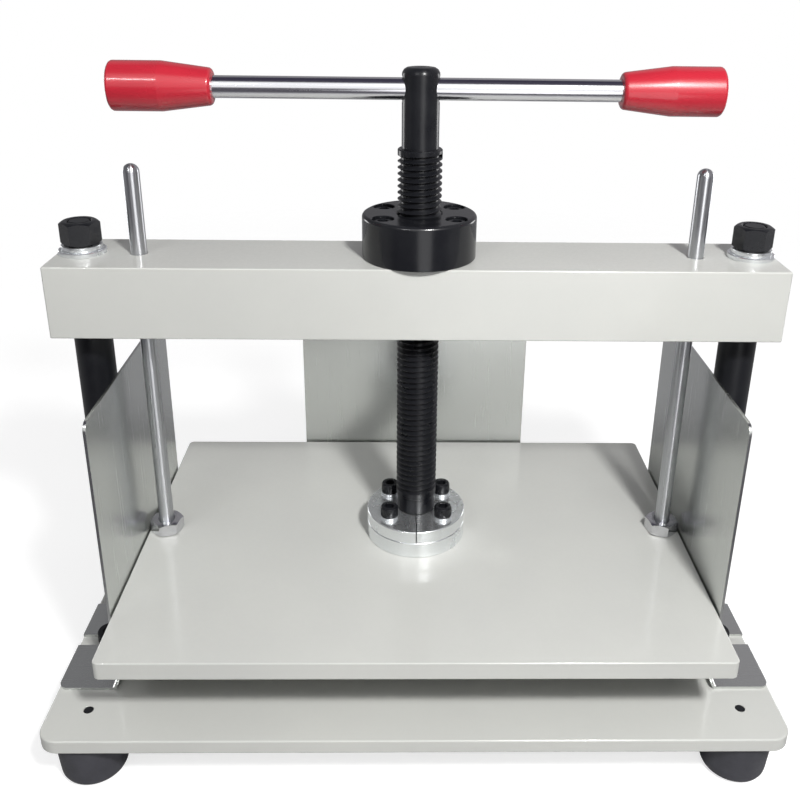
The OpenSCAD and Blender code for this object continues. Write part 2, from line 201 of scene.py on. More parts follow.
def makeBlackSteel(name, roughness, shine="plain"):
    # black oxide: a deep blue-black skin, a little greyer in patches
    material, board, shader, place = startFinish(name, blackSteel[shine])
    patch = board.noise(place, *blackSteel["patch"])
    grain = board.noise(place, *blackSteel["grain"])
    mixed = patch * blackSteel["patchShare"] + grain * blackSteel["grainShare"]
    share = board.fit(mixed, *blackSteel["wornSpan"])
    colour = board.blend(share, blackSteel["colour"], blackSteel["worn"])
    board.fill(shader.inputs["Base Color"], colour)
    board.fill(shader.inputs["Roughness"], board.fit(patch, *noiseSpan, *roughness))
    addBump(board, shader, grain, *blackSteel["bump"])
    return material


zincPlate = {
    "colour": (0.86, 0.88, 0.89, 1),
    "dull": (0.78, 0.8, 0.82, 1),
    "dullSpan": (0.35, 0.7),
    "patch": (60.0, 4.0),
    "turningLines": 9000.0,
    "ringShare": 0.2,
    "bump": (0.015, 0.1 * mm),
    "roughness": (0.2, 0.3),
    "shine": {"Metallic": 0.92},
}


def makeZincPlate(name):
    # bright zinc over turned steel: rings from the lathe round the spindle, and soft mottling
    material, board, shader, place = startFinish(name, zincPlate["shine"])
    patch = board.noise(place, *zincPlate["patch"])
    split = board.add("ShaderNodeSeparateXYZ", None, {0: place})
    across = split.other("X")
    along = split.other("Y") - spindleY
    reach = (across * across + along * along) ** 0.5
    rings = board.math("SINE", reach * zincPlate["turningLines"])
    share = board.fit(patch, *zincPlate["dullSpan"])
    colour = board.blend(share, zincPlate["colour"], zincPlate["dull"])
    board.fill(shader.inputs["Base Color"], colour)
    board.fill(shader.inputs["Roughness"], board.fit(patch, *noiseSpan, *zincPlate["roughness"]))
    addBump(board, shader, rings * zincPlate["ringShare"] + patch, *zincPlate["bump"])
    return material


steelSheet = {
    "colour": (0.65, 0.665, 0.65, 1),
    "dull": (0.61, 0.625, 0.61, 1),
    "dullSpan": (0.25, 0.78),
    "lines": (1.0, 4.0, 0.65),
    "patch": (18.0, 3.0),
    "lineShare": 0.6,
    "patchShare": 0.4,
    "bump": (0.02, 0.05 * mm),
    "roughness": (0.22, 0.28),
    "shine": {"Metallic": 1.0},
}


def makeSteelSheet(name, grain):
    # rolled stainless sheet: fine lines along the rolling direction
    material, board, shader, place = startFinish(name, steelSheet["shine"])
    lines = board.noise(stretch(board, place, grain), *steelSheet["lines"])
    patch = board.noise(place, *steelSheet["patch"])
    mixed = lines * steelSheet["lineShare"] + patch * steelSheet["patchShare"]
    share = board.fit(mixed, *steelSheet["dullSpan"])
    colour = board.blend(share, steelSheet["colour"], steelSheet["dull"])
    board.fill(shader.inputs["Base Color"], colour)
    board.fill(shader.inputs["Roughness"], board.fit(lines, *noiseSpan, *steelSheet["roughness"]))
    addBump(board, shader, lines, *steelSheet["bump"])
    return material


brightBar = {
    "chrome": ((0.84, 0.84, 0.87, 1), (0.76, 0.76, 0.8, 1)),
    "steel": ((0.55, 0.56, 0.58, 1), (0.47, 0.48, 0.5, 1)),
    "nickel": ((0.68, 0.68, 0.7, 1), (0.6, 0.6, 0.63, 1)),
    "lines": (1.0, 3.0, 0.6),
    "lineSpan": (0.4, 0.75),
    "bump": (0.02, 0.05 * mm),
    "polished": {"Metallic": 1.0},
    "turned": {"Metallic": 1.0, "Anisotropic": 0.85, "Anisotropic Rotation": 0.25},
}


def makeBrightBar(name, metal, grain, roughness, shine="polished"):
    # plated bar: almost a mirror, with hairlines along its length
    material, board, shader, place = startFinish(name, brightBar[shine])
    lines = board.noise(stretch(board, place, grain), *brightBar["lines"])
    share = board.fit(lines, *brightBar["lineSpan"])
    colour = board.blend(share, *brightBar[metal])
    board.fill(shader.inputs["Base Color"], colour)
    board.fill(shader.inputs["Roughness"], board.fit(lines, *noiseSpan, *roughness))
    addBump(board, shader, lines, *brightBar["bump"])
    return material


redPlastic = {
    "colour": (0.47, 0.018, 0.034, 1),
    "shade": (0.41, 0.014, 0.028, 1),
    "shadeSpan": (0.35, 0.7),
    "flowGrain": (30, 90, 90),
    "flow": (1.0, 3.0),
    "fine": (700.0, 2.0),
    "roughness": (0.24, 0.32),
    "shine": {"IOR": 1.5, "Coat Roughness": 0.1},
    "coat": (0.5, 0.7),
    "bump": (0.03, 0.1 * mm),
}


def makeRedPlastic(name):
    # moulded plastic: even colour with faint flow clouds
    material, board, shader, place = startFinish(name, redPlastic["shine"])
    flow = board.noise(stretch(board, place, redPlastic["flowGrain"]), *redPlastic["flow"])
    fine = board.noise(place, *redPlastic["fine"])
    share = board.fit(flow, *redPlastic["shadeSpan"])
    colour = board.blend(share, redPlastic["colour"], redPlastic["shade"])
    board.fill(shader.inputs["Base Color"], colour)
    board.fill(shader.inputs["Roughness"], board.fit(flow, *noiseSpan, *redPlastic["roughness"]))
    board.fill(shader.inputs["Coat Weight"], board.fit(fine, *noiseSpan, *redPlastic["coat"]))
    addBump(board, shader, fine, *redPlastic["bump"])
    return material


footRubber = {
    "colour": (0.034, 0.034, 0.042, 1),
    "bloom": (0.06, 0.06, 0.072, 1),
    "bloomSpan": (0.35, 0.7),
    "cloud": (70.0, 5.0),
    "pebble": (1600.0, 2.0),
    "cloudShare": 0.7,
    "pebbleShare": 0.3,
    "roughness": (0.5, 0.68),
    "shine": {"IOR": 1.45},
    "bump": (0.2, 0.15 * mm),
}


def makeFootRubber(name):
    # moulded rubber: matt, with a dusty bloom and a fine pebble surface
    material, board, shader, place = startFinish(name, footRubber["shine"])
    cloud = board.noise(place, *footRubber["cloud"])
    pebble = board.noise(place, *footRubber["pebble"])
    mixed = cloud * footRubber["cloudShare"] + pebble * footRubber["pebbleShare"]
    share = board.fit(mixed, *footRubber["bloomSpan"])
    colour = board.blend(share, footRubber["colour"], footRubber["bloom"])
    board.fill(shader.inputs["Base Color"], colour)
    board.fill(shader.inputs["Roughness"], board.fit(pebble, *noiseSpan, *footRubber["roughness"]))
    addBump(board, shader, pebble, *footRubber["bump"])
    return material


finish = {
    "paint": makeEnamel("lightGreyEnamel"),
    "satinBlack": makeBlackSteel("satinBlackOxide", (0.3, 0.42)),
    "glossBlack": makeBlackSteel("glossBlackOxide", (0.16, 0.28)),
    "turnedBlack": makeBlackSteel("turnedBlackOxide", (0.16, 0.22), "disc"),
    "threadBlack": makeBlackSteel("threadBlackOxide", (0.24, 0.34), "spindle"),
    "zinc": makeZincPlate("brightZinc"),
    "sideSheet": makeSteelSheet("sidePlateStainless", (12, 900, 12)),
    "backSheet": makeSteelSheet("backPlateStainless", (900, 12, 12)),
    "nickel": makeBrightBar("rodNutNickel", "nickel", (300, 300, 300), (0.1, 0.2)),
    "rod": makeBrightBar("guideRodSteel", "steel", (900, 900, 8), (0.26, 0.34), "turned"),
    "bar": makeBrightBar("handleBarChrome", "chrome", (8, 900, 900), (0.14, 0.2)),
    "red": makeRedPlastic("redGripPlastic"),
    "rubber": makeFootRubber("greyFootRubber"),
}
print("finishes made,", len(finish))


# Mesh tools

roundStep = 4  # points on a rounded edge
drillSteps = 48
sharpAngle = math.radians(38)


def rounded(corners, closed=False):
    # a line of (across, up, edge radius) corners with each corner rounded off
    line = []
    for index, (across, up, radius) in enumerate(corners):
        here = Vector((across, up))
        atEnd = not closed and index in (0, len(corners) - 1)
        if atEnd or radius == 0:
            line.append(here)
            continue
        before = (Vector(corners[index - 1][:2]) - here).normalized()
        after = (Vector(corners[(index + 1) % len(corners)][:2]) - here).normalized()
        half = before.angle(after) / 2
        reach = radius / math.tan(half)
        centre = here + (before + after).normalized() * (radius / math.sin(half))
        start = here + before * reach - centre
        end = here + after * reach - centre
        for step in range(roundStep + 1):
            spoke = start.lerp(end, step / roundStep).normalized()
            line.append(centre + spoke * radius)
    return line


def joinRings(mesh, lower, upper):
    for step, point in enumerate(lower):
        following = (step + 1) % len(lower)
        mesh.faces.new((point, lower[following], upper[following], upper[step]))


def turned(profile, steps, closed=False):
    # a shell turned round Z from (radius, height) points, flat at both ends or closed on itself
    mesh = bmesh.new()
    rings = []
    for radius, height in profile:
        ring = []
        for step in range(steps):
            angle = fullTurn * step / steps
            ring.append(mesh.verts.new((radius * math.cos(angle), radius * math.sin(angle), height)))
        rings.append(ring)
    for lower, upper in zip(rings, rings[1:]):
        joinRings(mesh, lower, upper)
    if closed:
        joinRings(mesh, rings[-1], rings[0])
    else:
        mesh.faces.new(rings[0])
        mesh.faces.new(rings[-1])
    return mesh


def slab(low, high, corner, edge, cornerSteps=10):
    # a plate with round corners and softly rounded edges
    mesh = bmesh.new()
    levels = []
    for step in range(roundStep + 1):
        angle = math.pi / 2 * step / roundStep
        levels.append((edge * (1 - math.sin(angle)), low[2] + edge * (1 - math.cos(angle))))
    for inset, height in reversed(levels[:]):
        levels.append((inset, low[2] + high[2] - height))
    rings = []
    for inset, height in levels:
        radius = corner - inset
        ring = []
        for turn, (x, y) in enumerate([(high[0], high[1]), (low[0], high[1]),
                                       (low[0], low[1]), (high[0], low[1])]):
            centreX = x - math.copysign(corner, x - (low[0] + high[0]) / 2)
            centreY = y - math.copysign(corner, y - (low[1] + high[1]) / 2)
            for step in range(cornerSteps + 1):
                angle = math.pi / 2 * (turn + step / cornerSteps)
                place = (centreX + radius * math.cos(angle),
                         centreY + radius * math.sin(angle), height)
                ring.append(mesh.verts.new(place))
        rings.append(ring)
    for lower, upper in zip(rings, rings[1:]):
        joinRings(mesh, lower, upper)
    mesh.faces.new(rings[0])
    mesh.faces.new(rings[-1])
    return mesh


def moved(mesh, place, turnedToX=False):
    if turnedToX:
        bmesh.ops.transform(mesh, matrix=Matrix.Rotation(math.pi / 2, 4, "Y"), verts=mesh.verts)
    bmesh.ops.translate(mesh, vec=place, verts=mesh.verts)
    return mesh


def merged(meshes):
    whole = bmesh.new()
    for mesh in meshes:
        holder = bpy.data.meshes.new("holder")
        mesh.to_mesh(holder)
        mesh.free()
        whole.from_mesh(holder)
        bpy.data.meshes.remove(holder)
    return whole


def holeCutter(places, radius, low, high, edge):
    # drills for a Boolean, flared so that each hole gets a small chamfer
    past = 2 * mm
    profile = [(radius + edge + past, low - past), (radius, low + edge),
               (radius, high - edge), (radius + edge + past, high + past)]
    drills = []
    for x, y in places:
        drills.append(moved(turned(profile, drillSteps), (x, y, 0)))
    return merged(drills)


def makeObject(name, mesh):
    bmesh.ops.recalc_face_normals(mesh, faces=mesh.faces)
    data = bpy.data.meshes.new(name)
    mesh.to_mesh(data)
    mesh.free()
    piece = bpy.data.objects.new(name, data)
    bpy.context.scene.collection.objects.link(piece)
    return piece


def evaluate(piece):
    # the modifiers' result becomes the piece's own plain mesh
    bpy.context.view_layer.update()
    evaluated = piece.evaluated_get(bpy.context.evaluated_depsgraph_get())
    data = bpy.data.meshes.new_from_object(evaluated)
    piece.modifiers.clear()
    piece.data = data


def trim(piece, cutters, operation="DIFFERENCE"):
    tools = []
    for cutter in cutters:
        tool = makeObject("tool", cutter)
        change = piece.modifiers.new("trim", "BOOLEAN")
        change.operation = operation
        change.solver = "EXACT"
        change.object = tool
        tools.append(tool)
    evaluate(piece)
    for tool in tools:
        bpy.data.objects.remove(tool)


def smoothShade(piece):
    # smooth over rounded edges, flat over broad faces, sharp at real edges
    mesh = bmesh.new()
    mesh.from_mesh(piece.data)
    for face in mesh.faces:
        face.smooth = True
    for edge in mesh.edges:
        edge.smooth = edge.calc_face_angle(0) < sharpAngle
    mesh.to_mesh(piece.data)
    mesh.free()
    weigh = piece.modifiers.new("weigh", "WEIGHTED_NORMAL")
    weigh.keep_sharp = True
    evaluate(piece)


def settle(piece, material, slot, body, *nodes):
    # finish, body and the CAD nodes that the piece stands for
    smoothShade(piece)
    piece.data.name = piece.name
    piece.data.materials.clear()
    piece.data.materials.append(material)
    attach(piece, body)
    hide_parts(*nodes)


def centreOf(node):
    low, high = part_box(node)
    return (low.x + high.x) / 2, (low.y + high.y) / 2


def heightOf(node):
    low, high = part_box(node)
    return (high.z - low.z) / mm


# Painted plates

footNodes = [place + "_foot" for place in ("front_left", "front_right", "rear_left", "rear_right")]
footPlaces = [centreOf(node) for node in footNodes]
basePlate = {"corner": 10 * mm, "edge": 0.9 * mm, "holeRadius": 2.6 * mm, "holeEdge": 0.05 * mm}
low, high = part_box("base_plate")
base = makeObject("basePlate", slab(low, high, basePlate["corner"], basePlate["edge"]))
holes = holeCutter(footPlaces, basePlate["holeRadius"], low.z, high.z, basePlate["holeEdge"])
trim(base, [holes])
settle(base, finish["paint"], "paint", "frame", "base_plate")

topBeam = {"corner": 0.9 * mm, "cornerSteps": 4, "edge": 0.7 * mm,
           "rodRadius": 4.35 * mm, "rodEdge": 0.5 * mm,
           "rods": [(-147.5 * mm, spindleY), (147.5 * mm, spindleY)],
           "spigotRadius": 16.2 * mm, "spigotEdge": 0.6 * mm}
low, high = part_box("top_beam")
beam = makeObject("topBeam", slab(low, high, topBeam["corner"], topBeam["edge"],
                                  topBeam["cornerSteps"]))
rodHoles = holeCutter(topBeam["rods"], topBeam["rodRadius"], low.z, high.z, topBeam["rodEdge"])
spigotHole = holeCutter([(0, spindleY)], topBeam["spigotRadius"], low.z, high.z,
                        topBeam["spigotEdge"])
trim(beam, [rodHoles, spigotHole])
settle(beam, finish["paint"], "paint", "frame", "top_beam")

pressPlate = {"corner": 3 * mm, "edge": 0.7 * mm}
low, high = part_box("platen")
platen = makeObject("platen", slab(low, high, pressPlate["corner"], pressPlate["edge"]))
settle(platen, finish["paint"], "paint", "pressing_plate", "platen")
print("painted plates made")


# Folded sheet plates

foldedPlate = {"cutEdge": 0.15 * mm, "flatAngle": math.radians(1), "edgeAngle": math.radians(45),
               "seam": 0.001 * mm}


def softenedCopy(name, node, cutEdge):
    # the CAD solid with its cut edges broken
    mesh = bmesh.new()
    mesh.from_mesh(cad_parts[node].data)
    bmesh.ops.remove_doubles(mesh, verts=mesh.verts, dist=foldedPlate["seam"])
    bmesh.ops.dissolve_limit(mesh, angle_limit=foldedPlate["flatAngle"],
                             verts=mesh.verts, edges=mesh.edges)
    cut = [edge for edge in mesh.edges if edge.calc_face_angle(0) > foldedPlate["edgeAngle"]]
    bmesh.ops.bevel(mesh, geom=cut, offset=cutEdge, segments=2, profile=0.5,
                    affect="EDGES", clamp_overlap=True)
    return makeObject(name, mesh)


for name, node, sheet in [("leftSidePlate", "left_side_plate", "sideSheet"),
                          ("rightSidePlate", "right_side_plate", "sideSheet"),
                          ("backPlate", "back_plate", "backSheet")]:
    piece = softenedCopy(name, node, foldedPlate["cutEdge"])
    settle(piece, finish[sheet], "stainless", "frame", node)
print("folded plates made")


# Posts, rods, bar and grips

post = {"steps": 96, "edge": 0.8 * mm, "studEdge": 1.2 * mm, "studRadius": 6 * mm}
for side in ("left", "right"):
    low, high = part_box(side + "_post")
    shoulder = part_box("top_beam")[0].z
    radius = (high.x - low.x) / 2
    stud = post["studRadius"]
    profile = rounded([(radius - post["edge"], low.z, 0), (radius, low.z + post["edge"], 0),
                       (radius, shoulder, post["edge"]), (stud, shoulder, 0),
                       (stud, high.z - post["studEdge"], 0), (stud - post["studEdge"], high.z, 0)])
    piece = makeObject(side + "Post", moved(turned(profile, post["steps"]),
                                            ((low.x + high.x) / 2, spindleY, 0)))
    settle(piece, finish["satinBlack"], "black_steel", "frame", side + "_post")

guideRod = {"steps": 64, "domeSteps": 10, "tip": 0.4 * mm, "lowEdge": 0.5 * mm}
for side in ("left", "right"):
    low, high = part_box(side + "_guide_rod")
    radius = (high.x - low.x) / 2
    profile = [(radius - guideRod["lowEdge"], low.z), (radius, low.z + guideRod["lowEdge"])]
    for step in range(guideRod["domeSteps"]):
        angle = math.pi / 2 * step / guideRod["domeSteps"]
        profile.append((radius * math.cos(angle), high.z - radius * (1 - math.sin(angle))))
    profile.append((guideRod["tip"], high.z))
    piece = makeObject(side + "GuideRod", moved(turned(profile, guideRod["steps"]),
                                                ((low.x + high.x) / 2, spindleY, 0)))
    settle(piece, finish["rod"], "chrome", "pressing_plate", side + "_guide_rod")

handleBar = {"steps": 64, "edge": 0.8 * mm}
low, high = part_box("handle_bar")
barZ = (low.z + high.z) / 2
radius = (high.z - low.z) / 2
profile = [(radius - handleBar["edge"], low.x), (radius, low.x + handleBar["edge"]),
           (radius, high.x - handleBar["edge"]), (radius - handleBar["edge"], high.x)]
bar = makeObject("handleBar", moved(turned(profile, handleBar["steps"]), (0, spindleY, barZ), True))
settle(bar, finish["bar"], "chrome", "handle", "handle_bar")

grip = {"steps": 96, "straight": 25 * mm, "smallRadius": 9 * mm, "endEdge": 1.6 * mm,
        "innerEdge": 2 * mm, "shoulderEdge": 2 * mm, "bore": 5.6 * mm, "boreDepth": 1.5 * mm}
for side, outward in (("left", -1), ("right", 1)):
    low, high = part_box(side + "_grip")
    radius = (high.z - low.z) / 2
    outer = low.x if outward < 0 else high.x
    inner = high.x if outward < 0 else low.x
    shoulder = outer - outward * grip["straight"]
    corners = [(grip["bore"], inner + outward * grip["boreDepth"], 0), (grip["bore"], inner, 0),
               (grip["smallRadius"], inner, grip["innerEdge"]),
               (radius, shoulder, grip["shoulderEdge"]),
               (radius, outer, grip["endEdge"]), (radius / 2, outer, 0)]
    piece = makeObject(side + "Grip", moved(turned(rounded(corners), grip["steps"]),
                                            (0, spindleY, barZ), True))
    settle(piece, finish["red"], "red_plastic", "handle", side + "_grip")
print("posts, rods, bar and grips made")


# Spindle with its screw thread

spindle = {"steps": 64, "pitch": 3.25 * mm, "crest": 11.5 * mm, "depth": 1.6 * mm,
           "flange": 10.5 * mm, "neck": 7.5 * mm, "smooth": 11 * mm, "shank": 9.5 * mm,
           "flangeTop": 91.2 * mm, "neckTop": 99.3 * mm, "threadLow": 110 * mm,
           "threadHigh": 310 * mm, "topEdge": 3.4 * mm, "tip": 2 * mm, "edge": 0.5 * mm, "runOut": 0.5,
           "rowPlaces": (0.0, 0.12, 0.44, 0.68), "rowDepths": (0.0, 0.0, 1.0, 1.0),
           "holeRadius": 5.58 * mm, "holeEdge": 0.6 * mm}


def threadedSpindle(low, high):
    # plain ends joined to a helical strip of crest, flank, root and flank
    mesh = bmesh.new()
    steps = spindle["steps"]
    pitch = spindle["pitch"]
    crest = spindle["crest"]
    turns = int((spindle["threadHigh"] - 2 * spindle["edge"] - spindle["threadLow"]) / pitch) - 1
    last = turns * steps

    def point(radius, count, height):
        angle = fullTurn * count / steps
        return mesh.verts.new((radius * math.cos(angle), radius * math.sin(angle), height))

    def plainRing(radius, height):
        return [point(radius, step, height) for step in range(steps)]

    rows = [[], [], [], []]
    for row, strip in enumerate(rows):
        ends = last + steps if row == 0 else last
        for count in range(ends + 1):
            fade = min(1.0, count / (steps * spindle["runOut"]))
            radius = crest - spindle["depth"] * spindle["rowDepths"][row] * fade
            height = spindle["threadLow"] + pitch * (count / steps + spindle["rowPlaces"][row])
            strip.append(point(radius, count, height))
    for count in range(last):
        for lower, upper in zip(rows, rows[1:]):
            mesh.faces.new((lower[count], lower[count + 1], upper[count + 1], upper[count]))
        mesh.faces.new((rows[3][count], rows[3][count + 1],
                        rows[0][count + 1 + steps], rows[0][count + steps]))

    edge = spindle["edge"]
    bottomLine = rounded([(spindle["flange"] - edge, low, 0), (spindle["flange"], low + edge, 0),
                          (spindle["flange"], spindle["flangeTop"], edge),
                          (spindle["neck"], spindle["flangeTop"], 0),
                          (spindle["neck"], spindle["neckTop"], 0),
                          (spindle["smooth"], spindle["neckTop"], edge),
                          (spindle["smooth"], spindle["threadLow"] - 2 * edge, 0),
                          (crest, spindle["threadLow"] - edge, 0)])
    bottom = [plainRing(*place) for place in bottomLine]
    topLine = rounded([(crest, spindle["threadHigh"] - edge, 0),
                       (crest - edge, spindle["threadHigh"], 0),
                       (spindle["shank"], spindle["threadHigh"], 0),
                       (spindle["shank"], high, spindle["topEdge"]), (spindle["tip"], high, 0)])
    top = [plainRing(*place) for place in topLine]
    for rings in (bottom, top):
        for lower, upper in zip(rings, rings[1:]):
            joinRings(mesh, lower, upper)
    mesh.faces.new(bottom[0])
    mesh.faces.new(top[-1])

    # the groove rises out of the first turn, and a flat face ends it below the shank
    under, over = bottom[-1], top[0]
    for step in range(steps - 1):
        mesh.faces.new((under[step], under[step + 1], rows[0][step + 1], rows[0][step]))
    start = [strip[0] for strip in rows]
    mesh.faces.new([under[-1], under[0]] + start + [rows[0][steps], rows[0][steps - 1]])
    crestLine = rows[0][last:]
    for step in range(1, steps):
        mesh.faces.new((crestLine[step], crestLine[step + 1], over[(step + 1) % steps], over[step]))
    mesh.faces.new((crestLine[0], crestLine[1], over[1], over[0], crestLine[steps]))
    mesh.faces.new([strip[last] for strip in rows] + [crestLine[steps]])
    return moved(mesh, (0, spindleY, 0))


low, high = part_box("press_screw")
screw = makeObject("pressScrew", threadedSpindle(low.z, high.z))
reach = spindle["shank"]
past = 4 * mm
flare = spindle["holeRadius"] + spindle["holeEdge"]
drill = [(flare + past, -reach - past), (spindle["holeRadius"], -reach + 2 * spindle["holeEdge"]),
         (spindle["holeRadius"], reach - 2 * spindle["holeEdge"]), (flare + past, reach + past)]
trim(screw, [moved(turned(drill, spindle["steps"]), (0, spindleY, barZ), True)])
settle(screw, finish["threadBlack"], "black_steel", "spindle", "press_screw")
print("spindle made,", len(screw.data.polygons), "faces")


# Screw nut, seat and collar

def fourAround(across, along):
    # the corners of a rectangle about the spindle
    return [(x, spindleY + y) for x in (-across, across) for y in (-along, along)]


screwNut = {"steps": 128, "edge": 1.9 * mm, "lowEdge": 0.4 * mm, "bore": 11.58 * mm,
            "boreEdge": 0.8 * mm, "spigot": 16 * mm, "pockets": (18.7 * mm, 12.6 * mm),
            "pocketRadius": 5.7 * mm, "pocketDepth": 7 * mm, "pocketEdge": 0.35 * mm,
            "pocketFlare": 2 * mm, "pocketSteps": 64}
low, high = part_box("screw_nut")
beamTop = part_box("top_beam")[1].z
radius = (high.x - low.x) / 2
corners = [(screwNut["bore"], low.z, 0), (screwNut["spigot"], low.z, screwNut["edge"]),
           (screwNut["spigot"], beamTop, 0), (radius, beamTop, screwNut["lowEdge"]),
           (radius, high.z, screwNut["edge"]),
           (screwNut["bore"] + screwNut["boreEdge"], high.z, 0),
           (screwNut["bore"], high.z - screwNut["boreEdge"], 0)]
nut = makeObject("screwNut", moved(turned(rounded(corners, True), screwNut["steps"], True),
                                   (0, spindleY, 0)))
pocketPlaces = fourAround(*screwNut["pockets"])
pocketFloor = high.z - screwNut["pocketDepth"]
flare = screwNut["pocketFlare"]
pocketLine = [(screwNut["pocketRadius"], pocketFloor),
              (screwNut["pocketRadius"], high.z - screwNut["pocketEdge"]),
              (screwNut["pocketRadius"] + flare, high.z + flare - screwNut["pocketEdge"])]
pockets = [moved(turned(pocketLine, screwNut["pocketSteps"]), (x, y, 0)) for x, y in pocketPlaces]
trim(nut, [merged(pockets)])
settle(nut, finish["turnedBlack"], "black_steel", "frame", "screw_nut")

seat = {"steps": 128, "edge": 0.5 * mm, "bore": 10.7 * mm}
low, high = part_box("screw_seat")
radius = (high.x - low.x) / 2
corners = [(seat["bore"], low.z, 0), (radius, low.z, seat["edge"]),
           (radius, high.z, seat["edge"]), (seat["bore"], high.z, 0)]
ring = makeObject("screwSeat", moved(turned(rounded(corners, True), seat["steps"], True),
                                     (0, spindleY, 0)))
settle(ring, finish["zinc"], "zinc", "pressing_plate", "screw_seat")

collar = {"steps": 128, "edge": 0.6 * mm, "bore": 7.58 * mm, "boreEdge": 0.4 * mm,
          "splitCorner": 0.4 * mm, "splitEdge": 0.2 * mm, "splitSteps": 2,
          "screws": (15.4 * mm, 12.8 * mm)}
for side, toward in (("left", -1), ("right", 1)):
    low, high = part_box(side + "_collar_half")
    radius = high.x - low.x + min(abs(low.x), abs(high.x))
    corners = [(collar["bore"], low.z, 0), (radius, low.z, collar["edge"]),
               (radius, high.z, collar["edge"]), (collar["bore"], high.z, collar["boreEdge"])]
    piece = makeObject(side + "CollarHalf",
                       moved(turned(rounded(corners, True), collar["steps"], True),
                             (0, spindleY, 0)))
    past = 5 * mm
    boxLow = Vector((low.x if toward > 0 else low.x - past, low.y - past, low.z - past))
    boxHigh = Vector((high.x if toward < 0 else high.x + past, high.y + past, high.z + past))
    half = slab(boxLow, boxHigh, collar["splitCorner"], collar["splitEdge"], collar["splitSteps"])
    trim(piece, [half], "INTERSECT")
    settle(piece, finish["zinc"], "zinc", "pressing_plate", side + "_collar_half")
print("screw nut, seat and collar made")


# Repeated hardware, one Geometry Nodes tree for each kind

ringPoints = 72
weldGap = 0.002 * mm


def hexagonRadius(board, turn, width):
    # distance to the side of a hexagon with a corner on X
    sixth = math.pi / 3
    swing = board.math("FLOORED_MODULO", turn + fullTurn, sixth) - sixth / 2
    return width / 2 / board.math("COSINE", swing)


def capScrewRings(board, turn, size):
    # shank, knurled head and hexagon socket
    edge = 0.3 * mm
    ridges = 36
    ridgeDepth = 0.12 * mm
    knurl = board.math("COSINE", turn * ridges) * ridgeDepth
    head = size["Head"] / 2
    shank = size["Shank"] / 2
    top = size["Head Height"]
    key = hexagonRadius(board, turn, size["Key"])
    keyFloor = top - size["Key Depth"]
    return [(0.0, size["Shank Length"] * -1), (shank - edge, size["Shank Length"] * -1),
            (shank, edge - size["Shank Length"]), (shank, 0.0), (head - edge, 0.0),
            (head - knurl - edge / 3, edge), (head - knurl - edge / 3, top - edge * 3),
            (head - edge, top - edge * 2), (head - edge * 1.6, top - edge * 0.5),
            (head - edge * 3, top), (key + edge, top), (key, top - edge), (key, keyFloor),
            (0.0, keyFloor - edge)]


def hexNutRings(board, turn, size):
    # the corners are turned off to a cone at both ends
    side = hexagonRadius(board, turn - size["Turn"], size["Width"])
    crownShare = 0.465
    slope = 0.65
    crown = size["Width"] * crownShare
    drop = (side - crown) * slope
    bore = size["Bore"] / 2
    edge = 0.6 * mm
    top = size["Height"]
    return [(bore, edge), (bore + edge, 0.0), (crown, 0.0), (side, drop), (side, top - drop),
            (crown, top), (bore + edge, top), (bore, top - edge), (bore, edge)]


def hexBoltRings(board, turn, size):
    # head below, shank up
    side = hexagonRadius(board, turn, size["Width"])
    crownShare = 0.475
    slope = 0.58
    edgeShare = 0.04
    crown = size["Width"] * crownShare
    drop = (side - crown) * slope
    shank = size["Shank"] / 2
    edge = size["Shank"] * edgeShare
    under = size["Head Height"]
    top = under + size["Shank Length"]
    return [(0.0, 0.0), (crown, 0.0), (side, drop), (side, under), (shank, under),
            (shank, top - edge), (shank - edge, top), (0.0, top)]


def washerRings(board, turn, size):
    edge = 0.35 * mm
    outer = size["Width"] / 2
    bore = size["Bore"] / 2
    top = size["Height"]
    return [(bore, 0.0), (outer - edge, 0.0), (outer, edge), (outer, top - edge),
            (outer - edge, top), (bore, top), (bore, 0.0)]


def rubberFootRings(board, turn, size):
    # a tapered foot with a round lower edge and a screw recess from below
    edge = 0.9 * mm
    wide = size["Top Width"] / 2
    narrow = size["Bottom Width"] / 2
    recess = size["Recess Width"] / 2
    bore = size["Bore"] / 2
    top = size["Height"]
    deep = size["Recess Depth"]
    lowerEdge = []
    for angle in (0, 18, 36, 54, 72, 90):
        across = math.sin(math.radians(angle)) - 1
        up = 1 - math.cos(math.radians(angle))
        lowerEdge.append((narrow + size["Round"] * across, size["Round"] * up))
    return [(bore, deep), (recess, deep), (recess, edge), (recess + edge, 0.0), *lowerEdge,
            (wide, top - edge * 1.2), (wide - edge * 0.3, top - edge * 0.3), (wide - edge, top),
            (bore, top), (bore, deep)]


